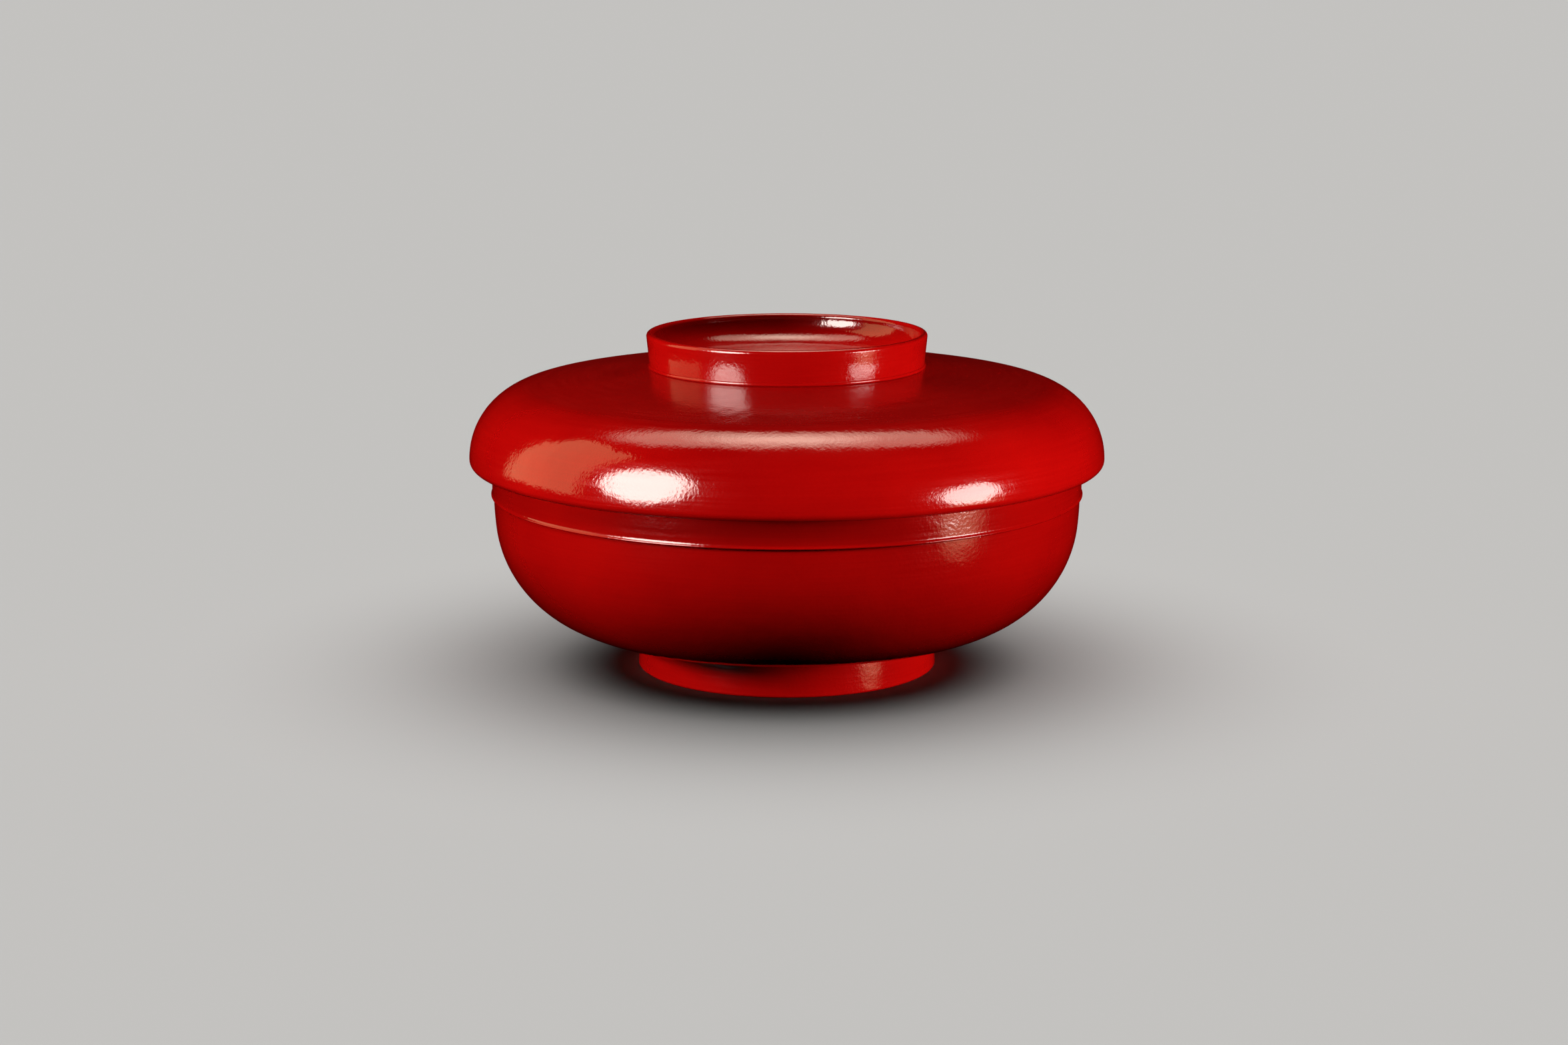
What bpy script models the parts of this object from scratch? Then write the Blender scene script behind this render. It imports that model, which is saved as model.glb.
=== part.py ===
"""Lidded lacquer serving bowl, built up in the layers that such a bowl is made of.

Turned wood cores carry a turned foot ring and a turned grip. Hemp cloth wraps both rims,
and lacquer coats cover every face. The lid lifts straight off.
Metres, +Z up, origin on the table under the middle of the foot.
"""
import math

import bmesh
import bpy

# Layers
COAT = 0.0006  # lacquer with its ground
CLOTH = 0.0005  # hemp cloth over the rims
CLOTH_REACH = 0.010  # how far the cloth runs down from a rim
SEAM = 0.0003  # clearance between pieces that touch

# Bowl
BOWL_RADIUS = 0.1115  # outer wall at its widest, where the bead runs
BOWL_WALL = 0.0060
BOWL_SIDE_ARC = 0.120  # radius of the nearly straight side
BOWL_SIDE_TURN = math.radians(6.0)  # the side arc ends this far below the bead
BOWL_CORNER_ARC = 0.0448  # radius between side and bottom
BOWL_DISH_ARC = 0.322  # radius of the shallow bottom
NECK_HEIGHT = 0.0304  # from the bead up to the top of the rim
BEAD_RISE = 0.0011
BEAD_WIDTH = 0.0020

# Foot ring under the bowl
FOOT_RADIUS = 0.0564  # outside, where the foot meets the bowl
FOOT_FLARE = 0.0007  # how much wider the foot is on the table
FOOT_HEIGHT = 0.0125  # outside, from the table to the bowl
FOOT_WALL = 0.0066
FOOT_EDGE = 0.0010  # rounding along the table

# Lid
LID_PLAY = 0.0034  # gap between the bowl's widest wall and the lid's lip
LID_WALL = 0.0056
LID_SHOULDER_ARC = 0.0279
LID_CROWN_ARC = 0.540

# Grip on the lid: a ring round a well, let into the crown
GRIP_RADIUS = 0.0521  # outside, where the grip meets the lid
GRIP_FLARE = 0.0011  # how much wider the grip is at its crest
GRIP_HEIGHT = 0.0132  # outside, from the lid to the crest
GRIP_CREST = 0.0029  # thickness of the rounded crest
GRIP_COVE = 0.0113  # run of the hollow curve from the crest to the well's floor
GRIP_LAND = 0.0018  # flat of the ring inside its cove
GRIP_FLOOR_DROP = 0.0004  # floor of the well below the lid's crown
GRIP_BEAD_RISE = 0.0005
GRIP_BEAD_WIDTH = 0.0013

# Seats of the foot and the grip in the cores
SEAT_GROOVE = 0.0010

# Facets
SEGMENTS = 40  # around every turned piece
ARC_STEP = math.radians(14.0)  # longest step along a turned arc
ROUND_STEPS = 2  # steps in a quarter of a small rounding
COVE_STEPS = 4
BEAD_STEPS = 4
DISH_STEPS = 3
WELD_DISTANCE = 1e-6
SHARP_ANGLE = math.radians(40.0)  # steeper edges are shaded sharp

# Finishes: colour, roughness and metallic value
LACQUER = ((0.56, 0.022, 0.010, 1.0), 0.12, 0.0)
WOOD = ((0.50, 0.33, 0.18, 1.0), 0.65, 0.0)
HEMP = ((0.62, 0.55, 0.42, 1.0), 0.90, 0.0)

BURIED = COAT + SEAM  # depth of the wood under a finished face


def ellipse(centre, across, up, start, end, steps):
    """Points along an ellipse's arc, both ends included."""
    points = []
    for i in range(steps + 1):
        angle = start + (end - start) * i / steps
        points.append((centre[0] + across * math.cos(angle), centre[1] + up * math.sin(angle)))
    return points


def arc(centre, radius, start, end, steps):
    return ellipse(centre, radius, radius, start, end, steps)


def half_round(centre, rise, width):
    """A bead that stands out from a wall."""
    return ellipse(centre, rise, width / 2, -math.pi / 2, math.pi / 2, BEAD_STEPS)


def steps_for(sweep):
    return max(1, math.ceil(abs(sweep) / ARC_STEP))


class Shell:
    """A turned wall of even thickness: a side, a corner and a dish arc, each tangent to the next.

    Points are (radius, rise). Rise is counted from the wall's widest plane towards its closed end.
    A depth is measured inwards from the outer face.
    """

    def __init__(self, radius, wall, side_arc, side_turn, corner_arc, dish_arc, edge_angle):
        self.wall = wall
        self.side_arc = side_arc
        self.side_turn = side_turn
        self.corner_arc = corner_arc
        self.dish_arc = dish_arc
        self.edge_angle = edge_angle
        self.cloth_angle = edge_angle + CLOTH_REACH / side_arc
        self.side_centre = (radius - side_arc, 0.0)
        reach = side_arc - corner_arc
        self.corner_centre = (self.side_centre[0] + reach * math.cos(side_turn), reach * math.sin(side_turn))
        drop = math.sqrt((dish_arc - corner_arc) ** 2 - self.corner_centre[0] ** 2)
        self.dish_centre = (0.0, self.corner_centre[1] - drop)
        self.corner_end = math.atan2(drop, self.corner_centre[0])

    def side(self, depth, start, end):
        return arc(self.side_centre, self.side_arc - depth, start, end, steps_for(end - start))

    def corner(self, depth):
        steps = steps_for(self.corner_end - self.side_turn)
        return arc(self.corner_centre, self.corner_arc - depth, self.side_turn, self.corner_end, steps)

    def dish(self, depth):
        """The whole dish, from the corner to the axis."""
        points = arc(self.dish_centre, self.dish_arc - depth, self.corner_end, math.pi / 2, DISH_STEPS)
        return points[:-1] + [self.dish_point(0.0, depth)]

    def dish_point(self, radius, depth):
        rise = math.sqrt((self.dish_arc - depth) ** 2 - radius ** 2)
        return (radius, self.dish_centre[1] + rise)

    def dish_middle(self, radius, depth):
        """The dish inside a radius, from the axis outwards."""
        return [self.dish_point(share * radius, depth) for share in (0.0, 0.5, 1.0)]

    def below_cloth(self, depth):
        """Side and corner, from the cloth's edge to the dish."""
        points = []
        if self.cloth_angle < 0.0:
            points += self.side(depth, self.cloth_angle, 0.0)
            points += self.side(depth, 0.0, self.side_turn)[1:]
            points += self.corner(depth)[1:]
        else:
            points += self.corner(depth)
        return points

    def beside_cloth(self, depth):
        """Side, from the rim to the cloth's edge."""
        return self.side(depth, self.edge_angle, self.cloth_angle)

    def rim_centre(self):
        middle = self.side_arc - self.wall / 2
        return (
            self.side_centre[0] + middle * math.cos(self.edge_angle),
            middle * math.sin(self.edge_angle),
        )

    def rim_arc(self, depth, start, end, steps):
        """Half round of the rim: 0 faces outwards, a quarter turn on is the rim's top."""
        turn = self.edge_angle
        return arc(self.rim_centre(), self.wall / 2 - depth, turn - start, turn - end, steps)

    def rim_stop(self):
        """Angle left free beside the rim's top, where the outer and inner coats meet."""
        return SEAM / (self.wall - 2 * COAT)


def core_outline(shell, middle, groove_outer):
    """Wood of a wall, thinned under the cloth and grooved for its ring.

    The middle is the face inside the groove, from the axis outwards.
    """
    inlaid = BURIED + CLOTH + SEAM
    groove_rise = seat_rise(shell, groove_outer)
    outline = middle + [(middle[-1][0], groove_rise), (groove_outer, groove_rise)]
    outline.append(shell.dish_point(groove_outer, BURIED))
    outline += reversed(shell.below_cloth(BURIED))
    outline += reversed(shell.beside_cloth(inlaid))
    outline += shell.rim_arc(inlaid, 0.0, math.pi, 2 * ROUND_STEPS)[1:-1]
    outline += shell.beside_cloth(shell.wall - inlaid)
    outline += shell.below_cloth(shell.wall - BURIED)
    outline += shell.dish(shell.wall - BURIED)[1:]
    return outline


def seat_rise(shell, groove_outer):
    """Level of a ring's groove in the core."""
    return shell.dish_point(groove_outer, BURIED)[1] - SEAT_GROOVE


def rim_cloth_outline(shell):
    """Hemp folded over a rim, inlaid flush with the wood."""
    under = BURIED + CLOTH
    edge = SEAM / shell.side_arc
    outer = shell.side(BURIED, shell.cloth_angle - edge, shell.edge_angle)
    outer += shell.rim_arc(BURIED, 0.0, math.pi, 2 * ROUND_STEPS)[1:-1]
    outer += shell.side(shell.wall - BURIED, shell.edge_angle, shell.cloth_angle - edge)
    inner = shell.side(shell.wall - under, shell.cloth_angle - edge, shell.edge_angle)
    inner += shell.rim_arc(under, math.pi, 0.0, 2 * ROUND_STEPS)[1:-1]
    inner += shell.side(under, shell.edge_angle, shell.cloth_angle - edge)
    return outer + inner


def outer_coat_outline(shell, ring_radius, bead=()):
    """Lacquer from the top of the rim over the outside to the ring."""
    quarter = math.pi / 2 - shell.rim_stop()
    end_radius = ring_radius + SEAM
    outline = shell.rim_arc(0.0, quarter, 0.0, ROUND_STEPS)
    outline += shell.beside_cloth(0.0)[1:]
    face = shell.below_cloth(0.0)[1:]
    if bead:
        face[:1] = bead
    outline += face
    outline += [shell.dish_point(end_radius, 0.0), shell.dish_point(end_radius, COAT)]
    outline += reversed(shell.below_cloth(COAT))
    outline += list(reversed(shell.beside_cloth(COAT)))[1:]
    outline += shell.rim_arc(COAT, 0.0, quarter, ROUND_STEPS)[1:]
    return outline


def inner_coat_outline(shell):
    """Lacquer from the top of the rim over the whole inside."""
    quarter = math.pi / 2 + shell.rim_stop()

    def face(depth, rim_depth):
        points = shell.rim_arc(rim_depth, quarter, math.pi, ROUND_STEPS)
        points += shell.beside_cloth(depth)[1:]
        points += shell.below_cloth(depth)[1:]
        points += shell.dish(depth)[1:]
        return points

    hidden = face(shell.wall - COAT, COAT)
    shown = face(shell.wall, 0.0)
    return list(reversed(hidden)) + shown


def foot_outline(shell, depth, top):
    """Foot ring at a depth under its finished faces, from its outer top round to its inner top."""
    inner = FOOT_RADIUS - FOOT_WALL
    table = shell.dish_point(FOOT_RADIUS, 0.0)[1] + FOOT_HEIGHT
    wide = FOOT_RADIUS + FOOT_FLARE
    edge = max(FOOT_EDGE - depth, 0.0)
    outline = [top(FOOT_RADIUS - depth)]
    outline += arc((wide - FOOT_EDGE, table - FOOT_EDGE), edge, 0.0, math.pi / 2, ROUND_STEPS)
    outline += arc((inner + FOOT_EDGE, table - FOOT_EDGE), edge, math.pi / 2, math.pi, ROUND_STEPS)
    outline.append(top(inner + depth))
    return outline


def foot_coat_outline(shell):
    def top(radius):
        return shell.dish_point(radius, COAT)

    return foot_outline(shell, 0.0, top) + list(reversed(foot_outline(shell, COAT, top)))


def foot_ring_outline(shell):
    seat = seat_rise(shell, FOOT_RADIUS - COAT) + SEAM
    return foot_outline(shell, BURIED, lambda radius: (radius, seat))


def recess_coat_outline(shell):
    """Lacquer on the bottom inside the foot."""
    radius = FOOT_RADIUS - FOOT_WALL - SEAM
    return shell.dish_middle(radius, 0.0) + list(reversed(shell.dish_middle(radius, COAT)))


class Grip:
    """Sizes of the grip where it stands on the lid."""

    def __init__(self, shell):
        self.shell = shell
        self.foot = shell.dish_point(GRIP_RADIUS, 0.0)[1]
        self.wide = GRIP_RADIUS + GRIP_FLARE
        self.crest_round = GRIP_CREST / 2
        self.crest_centre = (self.wide - self.crest_round, self.foot + GRIP_HEIGHT - self.crest_round)
        self.floor_rise = shell.dish_point(0.0, 0.0)[1] - GRIP_FLOOR_DROP
        self.floor_radius = self.wide - GRIP_CREST - GRIP_COVE
        self.ring_inner = self.floor_radius - GRIP_LAND
        self.cove_depth = self.crest_centre[1] - self.floor_rise
        self.stop = SEAM / (GRIP_CREST - 2 * COAT)

    def crest(self, depth, start, end, steps):
        return arc(self.crest_centre, self.crest_round - depth, start, end, steps)

    def well(self, depth, end_radius):
        """Hollow side of the grip, from below the crest down the cove and along the floor."""
        centre = (self.floor_radius, self.crest_centre[1])
        points = ellipse(centre, GRIP_COVE + depth, self.cove_depth + depth, 0.0, -math.pi / 2, COVE_STEPS)
        return points + [(end_radius, self.floor_rise - depth)]


def grip_ring_outline(grip):
    seat = seat_rise(grip.shell, GRIP_RADIUS - COAT) + SEAM
    outline = [(grip.ring_inner, seat), (GRIP_RADIUS - BURIED, seat)]
    outline += grip.crest(BURIED, 0.0, math.pi, 2 * ROUND_STEPS)
    outline += grip.well(BURIED, grip.ring_inner)[1:]
    return outline


def grip_coat_outline(grip):
    """Lacquer on the outside of the grip, with the bead at its foot."""
    shell = grip.shell
    quarter = math.pi / 2 - grip.stop
    bead_centre = (GRIP_RADIUS, grip.foot + SEAM + GRIP_BEAD_WIDTH / 2)
    outline = [shell.dish_point(GRIP_RADIUS - COAT, COAT), shell.dish_point(GRIP_RADIUS, COAT)]
    outline += half_round(bead_centre, GRIP_BEAD_RISE, GRIP_BEAD_WIDTH)
    outline += grip.crest(0.0, 0.0, quarter, ROUND_STEPS)
    outline += grip.crest(COAT, quarter, 0.0, ROUND_STEPS)
    return outline


def grip_well_coat_outline(grip):
    """Lacquer on the hollow side of the grip and on the floor of its well."""
    quarter = math.pi / 2 + grip.stop
    shown = grip.crest(0.0, quarter, math.pi, ROUND_STEPS) + grip.well(0.0, 0.0)[1:]
    hidden = grip.crest(COAT, quarter, math.pi, ROUND_STEPS) + grip.well(COAT, 0.0)[1:]
    return shown + list(reversed(hidden))


def finish_material(name, finish):
    colour, roughness, metallic = finish
    material = bpy.data.materials.new(name)
    material.use_nodes = True
    shader = material.node_tree.nodes["Principled BSDF"]
    shader.inputs["Base Color"].default_value = colour
    shader.inputs["Roughness"].default_value = roughness
    shader.inputs["Metallic"].default_value = metallic
    return material


def turn(name, outline, closed_end, finish, parent):
    """Turn an outline about the axis; closed_end is 1 where rise points up and -1 where it points down."""
    shape = bmesh.new()
    points = [shape.verts.new((radius, 0.0, closed_end * rise)) for radius, rise in outline]
    edges = [shape.edges.new(pair) for pair in zip(points, points[1:])]
    on_axis = outline[0][0] == 0.0 and outline[-1][0] == 0.0
    if not on_axis:
        edges.append(shape.edges.new((points[-1], points[0])))
    bmesh.ops.spin(
        shape,
        geom=points + edges,
        cent=(0.0, 0.0, 0.0),
        axis=(0.0, 0.0, 1.0),
        angle=2 * math.pi,
        steps=SEGMENTS,
    )
    bmesh.ops.remove_doubles(shape, verts=shape.verts, dist=WELD_DISTANCE)
    bmesh.ops.recalc_face_normals(shape, faces=shape.faces)
    mesh = bpy.data.meshes.new(name)
    shape.to_mesh(mesh)
    shape.free()
    mesh.materials.append(finish_material(name, finish))
    mesh.shade_smooth()
    mesh.set_sharp_from_angle(angle=SHARP_ANGLE)
    piece = bpy.data.objects.new(name, mesh)
    piece.parent = parent
    bpy.context.scene.collection.objects.link(piece)
    return piece


def hub(name, height):
    """Empty on the axis that carries the pieces of one body."""
    empty = bpy.data.objects.new(name, None)
    empty.location = (0.0, 0.0, height)
    bpy.context.scene.collection.objects.link(empty)
    return empty


def bowl_shell():
    rim_round = BOWL_WALL / 2
    edge_angle = -math.asin((NECK_HEIGHT - rim_round) / (BOWL_SIDE_ARC - rim_round))
    return Shell(
        BOWL_RADIUS,
        BOWL_WALL,
        BOWL_SIDE_ARC,
        BOWL_SIDE_TURN,
        BOWL_CORNER_ARC,
        BOWL_DISH_ARC,
        edge_angle,
    )


def lid_shell():
    cloth_turn = CLOTH_REACH / LID_SHOULDER_ARC
    return Shell(
        BOWL_RADIUS + LID_PLAY + LID_WALL,
        LID_WALL,
        LID_SHOULDER_ARC,
        cloth_turn,
        LID_SHOULDER_ARC,
        LID_CROWN_ARC,
        0.0,
    )


def lid_seat(bowl, lid):
    """Height of the lid's widest plane above the bowl's, with the lid's shoulder on the bowl's rim."""
    rim_radius, rim_rise = bowl.rim_centre()
    reach = lid.side_arc - lid.wall - bowl.wall / 2 - SEAM
    across = rim_radius - lid.side_centre[0]
    return -rim_rise - math.sqrt(reach ** 2 - across ** 2)


def build_bowl(shell, carrier):
    bead = half_round((BOWL_RADIUS, 0.0), BEAD_RISE, BEAD_WIDTH)
    middle = shell.dish_middle(FOOT_RADIUS - FOOT_WALL + COAT, BURIED)
    turn("bowl_core", core_outline(shell, middle, FOOT_RADIUS - COAT), -1, WOOD, carrier)
    turn("bowl_rim_cloth", rim_cloth_outline(shell), -1, HEMP, carrier)
    turn("bowl_outer_coat", outer_coat_outline(shell, FOOT_RADIUS, bead), -1, LACQUER, carrier)
    turn("bowl_inner_coat", inner_coat_outline(shell), -1, LACQUER, carrier)
    turn("foot_ring", foot_ring_outline(shell), -1, WOOD, carrier)
    turn("foot_coat", foot_coat_outline(shell), -1, LACQUER, carrier)
    turn("foot_recess_coat", recess_coat_outline(shell), -1, LACQUER, carrier)


def build_lid(shell, carrier):
    grip = Grip(shell)
    level = grip.floor_rise - BURIED
    middle = [(0.0, level), (grip.ring_inner - SEAM, level)]
    turn("lid_core", core_outline(shell, middle, GRIP_RADIUS - COAT), 1, WOOD, carrier)
    turn("lid_rim_cloth", rim_cloth_outline(shell), 1, HEMP, carrier)
    turn("lid_outer_coat", outer_coat_outline(shell, GRIP_RADIUS), 1, LACQUER, carrier)
    turn("lid_inner_coat", inner_coat_outline(shell), 1, LACQUER, carrier)
    turn("grip_ring", grip_ring_outline(grip), 1, WOOD, carrier)
    turn("grip_coat", grip_coat_outline(grip), 1, LACQUER, carrier)
    turn("grip_well_coat", grip_well_coat_outline(grip), 1, LACQUER, carrier)


def main():
    for old in list(bpy.data.objects):
        bpy.data.objects.remove(old, do_unlink=True)
    bowl = bowl_shell()
    lid = lid_shell()
    bead_height = bowl.dish_point(FOOT_RADIUS, 0.0)[1] + FOOT_HEIGHT
    build_bowl(bowl, hub("bowl", bead_height))
    build_lid(lid, hub("lid", bead_height + lid_seat(bowl, lid)))


main()
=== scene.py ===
# %% [markdown]
# # The looks of a lidded lacquer bowl
# The frame holds the finished construction: turned wood cores, hemp cloth on the rims, and plain
# solids where the lacquer goes. This lesson turns fine lacquer films over the cores, mixes the
# finishes, and sets up a small studio. Nothing of the frame is moved or resized.

# %% Load the frame
import math

import bpy
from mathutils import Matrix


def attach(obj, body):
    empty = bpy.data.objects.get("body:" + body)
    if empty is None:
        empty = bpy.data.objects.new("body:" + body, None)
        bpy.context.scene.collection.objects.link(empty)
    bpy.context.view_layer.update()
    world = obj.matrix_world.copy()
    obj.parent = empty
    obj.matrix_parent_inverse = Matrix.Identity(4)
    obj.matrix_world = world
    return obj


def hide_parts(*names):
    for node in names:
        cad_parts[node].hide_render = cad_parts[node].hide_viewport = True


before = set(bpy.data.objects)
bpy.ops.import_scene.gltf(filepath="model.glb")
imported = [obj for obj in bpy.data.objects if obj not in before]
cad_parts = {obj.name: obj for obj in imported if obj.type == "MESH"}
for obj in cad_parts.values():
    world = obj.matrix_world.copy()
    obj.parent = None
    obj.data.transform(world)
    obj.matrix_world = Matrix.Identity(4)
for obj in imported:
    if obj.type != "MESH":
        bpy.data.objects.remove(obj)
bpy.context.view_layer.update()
print("nodes:", sorted(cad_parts))

# %% [markdown]
# ## The camera
# The round edges of the bowl are ellipses in the photograph, and their flatness gives the height
# of the eye. A 70 mm lens on a 36 mm frame, a little above the lid and a metre away, draws all of
# them with the right width. The camera comes first, so that every later step can be compared.

# %% Camera
EYE = (-0.0011, -1.1450, 0.2859)
LOOKING_DOWN = math.radians(11.42)
LENS = 70.0
FILM_WIDTH = 36.0

bpy.ops.object.select_all(action="DESELECT")
bpy.ops.object.camera_add(location=EYE, rotation=(math.pi / 2 - LOOKING_DOWN, 0.0, 0.0))
camera = bpy.context.object
camera.name = "photo_camera"
camera.data.lens = LENS
camera.data.sensor_width = FILM_WIDTH
bpy.context.scene.camera = camera
print("camera", EYE)

# %% [markdown]
# ## Drawing a turned section
# A turner works from a section: the outline of the wall, cut through the axis. Here a section is a
# list of (radius, height) points. Its round stretches are arcs, so a few radii say everything. One
# could lay the points by hand, but then the reflections in the gloss would show every small bump.

# %% Arcs
FINEST_TURN = math.radians(2.5)
LONGEST_STEP = 0.0020
FEWEST_STEPS = 3


def ellipse(centre, across, up, start, end):
    """Points along an arc, with short enough steps for a smooth reflection."""
    sweep = abs(end - start)
    by_turn = math.ceil(sweep / FINEST_TURN)
    by_length = math.ceil(sweep * max(across, up) / LONGEST_STEP)
    steps = max(FEWEST_STEPS, by_turn, by_length)
    points = []
    for i in range(steps + 1):
        angle = start + (end - start) * i / steps
        points.append((centre[0] + across * math.cos(angle), centre[1] + up * math.sin(angle)))
    return points


def arc(centre, radius, start, end):
    return ellipse(centre, radius, radius, start, end)


print("a quarter round has", len(arc((0.0, 0.0), LONGEST_STEP, 0.0, math.pi / 2)), "points")

# %% [markdown]
# ## The lathe
# A turned film is made like a pot: one vertex is extruded from point to point until the section is
# closed, and the section is spun round the axis. A Screw modifier would do the same. The Spin
# operator is used because the mesh is then finished at once, with the pole welded and the faces
# turned outwards.

# %% Lathe
LATHE_STEPS = 192
WELD = 1e-6
CRISP_EDGE = math.radians(38.0)


def turn_on_lathe(name, section):
    """Spin a section round the axis; a section that starts and ends on the axis stays open there."""
    points = list(section)
    if points[0][0] > 0.0 or points[-1][0] > 0.0:
        points.append(points[0])
    bpy.ops.object.select_all(action="DESELECT")
    bpy.ops.mesh.primitive_plane_add(size=LONGEST_STEP, location=(0.0, 0.0, 0.0))
    piece = bpy.context.object
    piece.name = name
    piece.data.name = name
    bpy.ops.object.mode_set(mode="EDIT")
    bpy.ops.mesh.select_all(action="SELECT")
    bpy.ops.mesh.merge(type="CENTER")
    bpy.ops.transform.translate(value=(points[0][0], 0.0, points[0][1]))
    for here, there in zip(points, points[1:]):
        step = (there[0] - here[0], 0.0, there[1] - here[1])
        bpy.ops.mesh.extrude_region_move(TRANSFORM_OT_translate={"value": step})
    bpy.ops.mesh.select_all(action="SELECT")
    bpy.ops.mesh.remove_doubles(threshold=WELD)
    bpy.ops.mesh.spin(steps=LATHE_STEPS, angle=2 * math.pi, center=(0.0, 0.0, 0.0), axis=(0.0, 0.0, 1.0))
    bpy.ops.mesh.select_all(action="SELECT")
    bpy.ops.mesh.remove_doubles(threshold=WELD)
    bpy.ops.mesh.normals_make_consistent(inside=False)
    bpy.ops.object.mode_set(mode="OBJECT")
    bpy.ops.object.shade_smooth_by_angle(angle=CRISP_EDGE)
    print(f"{name}: {len(points)} points in the section, {len(piece.data.polygons)} faces")
    return piece


# %% [markdown]
# ## A wall of three arcs
# Both shells, bowl and lid, have a steep side, a round corner and a shallow dish, each running
# smoothly into the next. Heights are counted as rise from the widest plane towards the closed end,
# so that the same class serves the bowl, which closes downwards, and the lid, which closes
# upwards. Going inwards by a depth only shortens the radii, and the wall keeps its thickness.

# %% Wall of three arcs
COAT = 0.0006
MILLIMETRES = 1000.0


class Wall:
    """A shell of even thickness, in (radius, rise): a side, a corner and a dish."""

    def __init__(self, widest, thickness, side_arc, side_turn, corner_arc, dish_arc, edge_angle):
        self.thickness = thickness
        self.side_arc = side_arc
        self.side_turn = side_turn
        self.corner_arc = corner_arc
        self.dish_arc = dish_arc
        self.edge_angle = edge_angle
        reach = side_arc - corner_arc
        self.side_centre = (widest - side_arc, 0.0)
        self.corner_centre = (
            self.side_centre[0] + reach * math.cos(side_turn),
            reach * math.sin(side_turn),
        )
        drop = math.sqrt((dish_arc - corner_arc) ** 2 - self.corner_centre[0] ** 2)
        self.dish_centre = (0.0, self.corner_centre[1] - drop)
        self.corner_end = math.atan2(drop, self.corner_centre[0])

    def side(self, depth, start, end):
        return arc(self.side_centre, self.side_arc - depth, start, end)

    def corner(self, depth):
        return arc(self.corner_centre, self.corner_arc - depth, self.side_turn, self.corner_end)

    def dish(self, depth, radius=0.0):
        """From the corner towards the axis, as far in as a radius."""
        end = math.acos(radius / (self.dish_arc - depth))
        points = arc(self.dish_centre, self.dish_arc - depth, self.corner_end, end)
        return points[:-1] + [(radius, points[-1][1])]

    def rim(self, depth, start, end):
        """Half round of the rim: 0 faces outwards, a quarter turn on is the rim's top."""
        middle = self.side_arc - self.thickness / 2
        centre = (
            self.side_centre[0] + middle * math.cos(self.edge_angle),
            middle * math.sin(self.edge_angle),
        )
        return arc(centre, self.thickness / 2 - depth, self.edge_angle - start, self.edge_angle - end)


def placed(section, plane, closed_end):
    """From (radius, rise) to (radius, height); closed_end is 1 for a lid and -1 for a bowl."""
    return [(radius, plane + closed_end * rise) for radius, rise in section]


print("lacquer film", COAT * MILLIMETRES, "mm thick")

# %% [markdown]
# ## The bowl's lacquer
# The film runs from the foot up the outside, over the rim and down the inside to the middle. Below
# the lid it has the one ornament of the bowl: a fine thread. Above it the neck stands upright, and a
# little proud of the side below. A hollow curve leads from the neck into the thread, and a sharp
# step ends it. On the real bowl the thread is cut in the wood and lacquered over. Here it is part of
# the film's outer line, and the hidden line behind it is plain.

# %% Bowl film
BOWL_WIDEST = 0.1115
BOWL_WALL = 0.0060
BOWL_SIDE_ARC = 0.120
BOWL_SIDE_TURN = math.radians(6.0)
BOWL_CORNER_ARC = 0.0448
BOWL_DISH_ARC = 0.322
NECK_HEIGHT = 0.0304
FOOT_RADIUS = 0.0564
FOOT_HEIGHT = 0.0125
NECK_PROUD = 0.0006
NECK_UPRIGHT = 0.0090
HOLLOW_ARC = 0.0016
HOLLOW_TURN = math.radians(34.0)
THREAD_ARC = 0.00045
THREAD_START = math.radians(52.0)
THREAD_END = math.radians(-82.0)

rim_lean = math.asin((NECK_HEIGHT - BOWL_WALL / 2) / (BOWL_SIDE_ARC - BOWL_WALL / 2))
bowl_wall = Wall(
    BOWL_WIDEST, BOWL_WALL, BOWL_SIDE_ARC, BOWL_SIDE_TURN, BOWL_CORNER_ARC, BOWL_DISH_ARC, -rim_lean
)
bead_plane = bowl_wall.dish(0.0, FOOT_RADIUS)[-1][1] + FOOT_HEIGHT


def thread_line():
    """Hollow and thread in (radius, rise), from the neck downwards."""
    hollow_drop = HOLLOW_ARC * math.sin(HOLLOW_TURN)
    hollow_centre = (BOWL_WIDEST + NECK_PROUD + HOLLOW_ARC, -hollow_drop)
    hollow = arc(hollow_centre, HOLLOW_ARC, math.pi, math.pi - HOLLOW_TURN)
    crease = hollow[-1]
    thread_centre = (
        crease[0] - THREAD_ARC * math.cos(THREAD_START),
        crease[1] + THREAD_ARC * math.sin(THREAD_START),
    )
    return hollow + arc(thread_centre, THREAD_ARC, -THREAD_START, -THREAD_END)[1:]


def neck_line(foot):
    """From the rim down to the hollow: an arc that runs into an upright wall."""
    rim_point = bowl_wall.rim(0.0, 0.0, math.pi)[0]
    bend_end = foot[1] - NECK_UPRIGHT
    inwards = foot[0] - rim_point[0]
    upwards = bend_end - rim_point[1]
    bend = (inwards ** 2 + upwards ** 2) / (2 * inwards)
    return arc((foot[0] - bend, bend_end), bend, -math.asin(upwards / bend), 0.0) + [foot]


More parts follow.
